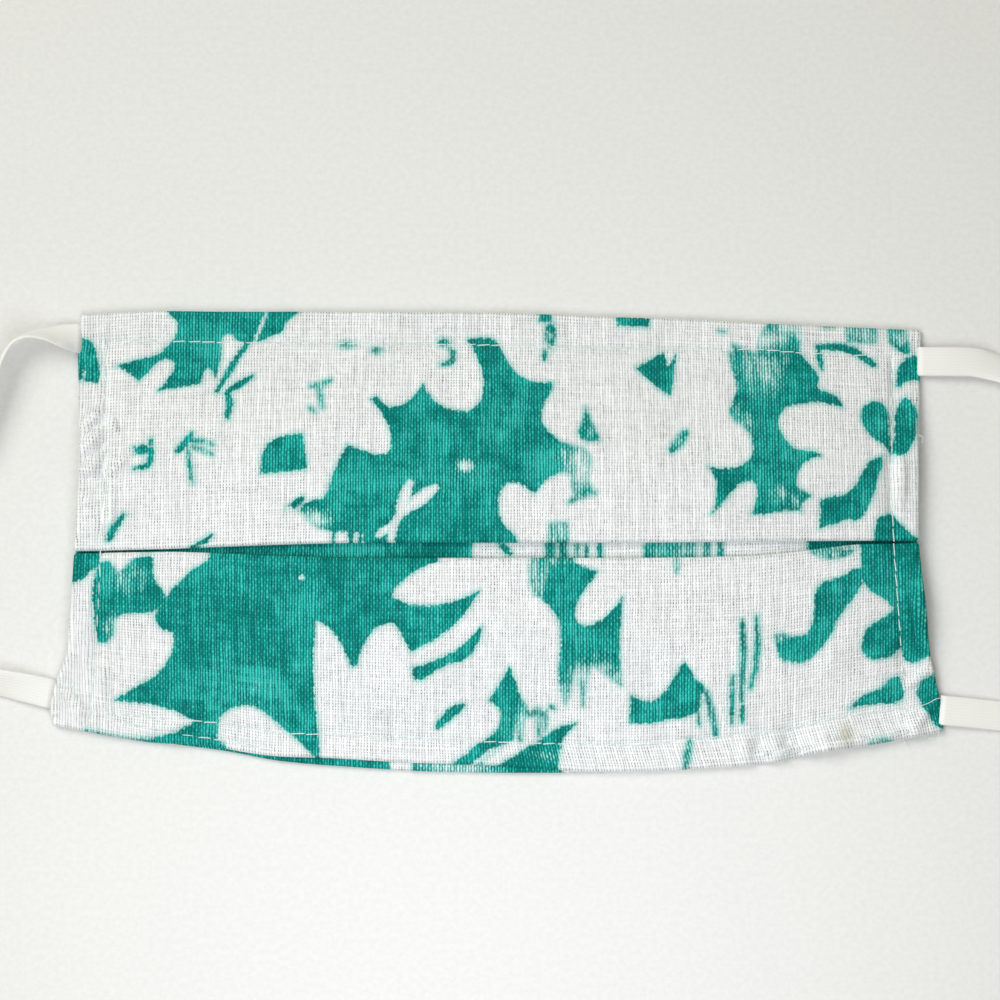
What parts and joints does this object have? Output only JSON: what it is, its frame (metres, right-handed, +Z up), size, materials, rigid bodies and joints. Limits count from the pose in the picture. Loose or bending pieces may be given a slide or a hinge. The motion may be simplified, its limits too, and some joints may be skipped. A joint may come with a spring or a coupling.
{
  "type": "pleated cloth face mask",
  "caption": "Cloth face mask lying flat, front side up: one inverted box pleat, turned-under stitched hems and flat elastic ear loops.",
  "frame": {"origin": "on the surface the mask lies on, under the middle of the cloth", "axes": "+X across the mask to its right-hand side as seen from the front, +Y up its face to the nose edge, +Z up from the surface, out of the front"},
  "size_m": [0.3129, 0.094, 0.0072],
  "materials": {
    "printed_cotton": "plain-weave cotton, white with a teal watercolour floral print",
    "flat_elastic": "white braided flat elastic, soft satin",
    "sewing_thread": "white polyester sewing thread"
  },
  "bodies": {
    "root": {"pleated_cloth": "printed_cotton", "top_hem": "printed_cotton", "bottom_hem": "printed_cotton", "side_hem_left": "printed_cotton", "side_hem_right": "printed_cotton", "ear_loop_left": "flat_elastic", "ear_loop_right": "flat_elastic"}
  },
  "joints": []
}
